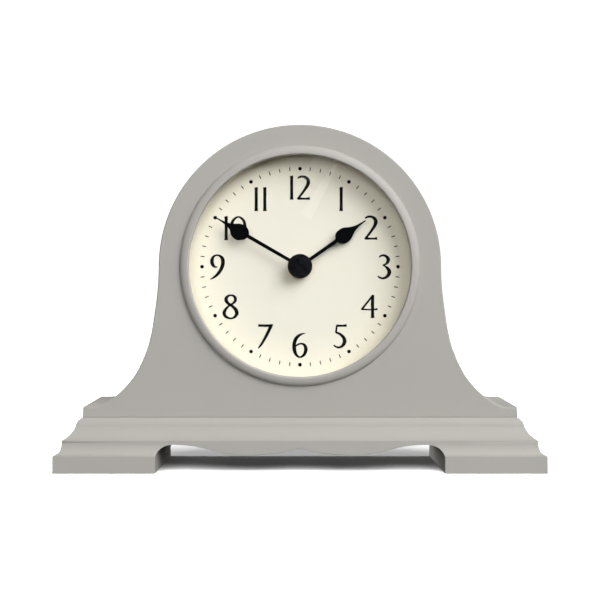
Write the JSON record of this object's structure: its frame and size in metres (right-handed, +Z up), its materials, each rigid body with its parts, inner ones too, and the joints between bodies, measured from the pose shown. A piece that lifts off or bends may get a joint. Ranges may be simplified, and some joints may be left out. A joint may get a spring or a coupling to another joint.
{
  "type": "shelf clock",
  "caption": "Grey painted tambour shelf clock: arched case with swept wings on a moulded base, glazed round dial, geared hands and a rear battery movement.",
  "frame": {"origin": "on the floor under the middle of the clock's bounding box", "axes": "+X to the right seen from the front, +Y from the dial to the back, +Z up; the dial faces -Y"},
  "size_m": [0.25, 0.061, 0.1786],
  "materials": {
    "grey_paint": "satin paint on board",
    "bezel_paint": "satin paint on a turned ring",
    "clear_glass": "polished",
    "dial_paint": "cream matt print",
    "hand_black": "satin black",
    "zinc_steel": "zinc plated",
    "turned_brass": "turned",
    "contact_nickel": "nickel plated",
    "gasket_rubber": "matt",
    "black_plastic": "moulded",
    "white_plastic": "moulded",
    "copper_wire": "enamelled wire",
    "board_laminate": "laminate",
    "cell_jacket": "plain printed jacket"
  },
  "bodies": {
    "case": {"foot_left": "grey_paint", "foot_right": "grey_paint", "apron": "grey_paint", "plinth": "grey_paint", "front_panel": "grey_paint", "case_rim": "grey_paint", "back_panel": "grey_paint", "plinth_screws": "zinc_steel", "back_screws": "zinc_steel", "bezel": "bezel_paint", "lens": "clear_glass", "lens_ring": "zinc_steel", "dial": "dial_paint", "small_screws": "zinc_steel", "nut_washer": "zinc_steel", "bush_nut": "turned_brass", "threaded_bush": "turned_brass", "dial_gasket": "gasket_rubber", "stator": "zinc_steel", "coil_core": "zinc_steel", "coil_bobbin": "white_plastic", "coil_winding": "copper_wire", "movement_case": "black_plastic", "movement_cover": "black_plastic", "circuit_board": "board_laminate", "quartz_crystal": "zinc_steel", "clock_chip": "black_plastic", "contact_positive": "contact_nickel", "contact_negative": "contact_nickel"},
    "minute_train": {"minute_arbor": "white_plastic", "centre_wheel": "white_plastic", "minute_hand": "hand_black", "hand_cap": "hand_black"},
    "hour_train": {"hour_wheel": "white_plastic", "hour_hand": "hand_black"},
    "works": {"minute_works_wheel": "white_plastic"},
    "intermediate": {"intermediate_wheel": "white_plastic"},
    "rotor": {"rotor_pinion": "white_plastic", "rotor_magnet": "zinc_steel"},
    "knob": {"set_knob": "white_plastic"},
    "cell": {"battery": "cell_jacket"}
  },
  "joints": [
    {"name": "minute_hand_turn", "type": "hinge", "parent": "case", "child": "minute_train", "pos_m": [0, 0, 0.1054], "axis": [0, 1, 0], "continuous": true},
    {"name": "hour_hand_turn", "type": "hinge", "parent": "case", "child": "hour_train", "pos_m": [0, 0, 0.1054], "axis": [0, 1, 0], "continuous": true},
    {"name": "minute_works_turn", "type": "hinge", "parent": "case", "child": "works", "pos_m": [-0.00636, 0, 0.11176], "axis": [0, 1, 0], "continuous": true},
    {"name": "intermediate_wheel_turn", "type": "hinge", "parent": "case", "child": "intermediate", "pos_m": [0.00935, 0, 0.1108], "axis": [0, 1, 0], "continuous": true},
    {"name": "rotor_turn", "type": "hinge", "parent": "case", "child": "rotor", "pos_m": [0.01894, 0, 0.11429], "axis": [0, 1, 0], "continuous": true},
    {"name": "set_knob_turn", "type": "hinge", "parent": "case", "child": "knob", "pos_m": [-0.01482, 0, 0.11484], "axis": [0, 1, 0], "continuous": true},
    {"name": "battery_slide", "type": "slide", "parent": "case", "child": "cell", "axis": [0, 1, 0], "range_m": [0, 0.04]}
  ],
  "couplings": [
    {"joint": "hour_hand_turn", "follows": "minute_hand_turn", "ratio": 0.083333},
    {"joint": "minute_works_turn", "follows": "minute_hand_turn", "ratio": -0.33333},
    {"joint": "intermediate_wheel_turn", "follows": "minute_hand_turn", "ratio": -8},
    {"joint": "rotor_turn", "follows": "minute_hand_turn", "ratio": 60},
    {"joint": "set_knob_turn", "follows": "minute_hand_turn", "ratio": 1}
  ]
}
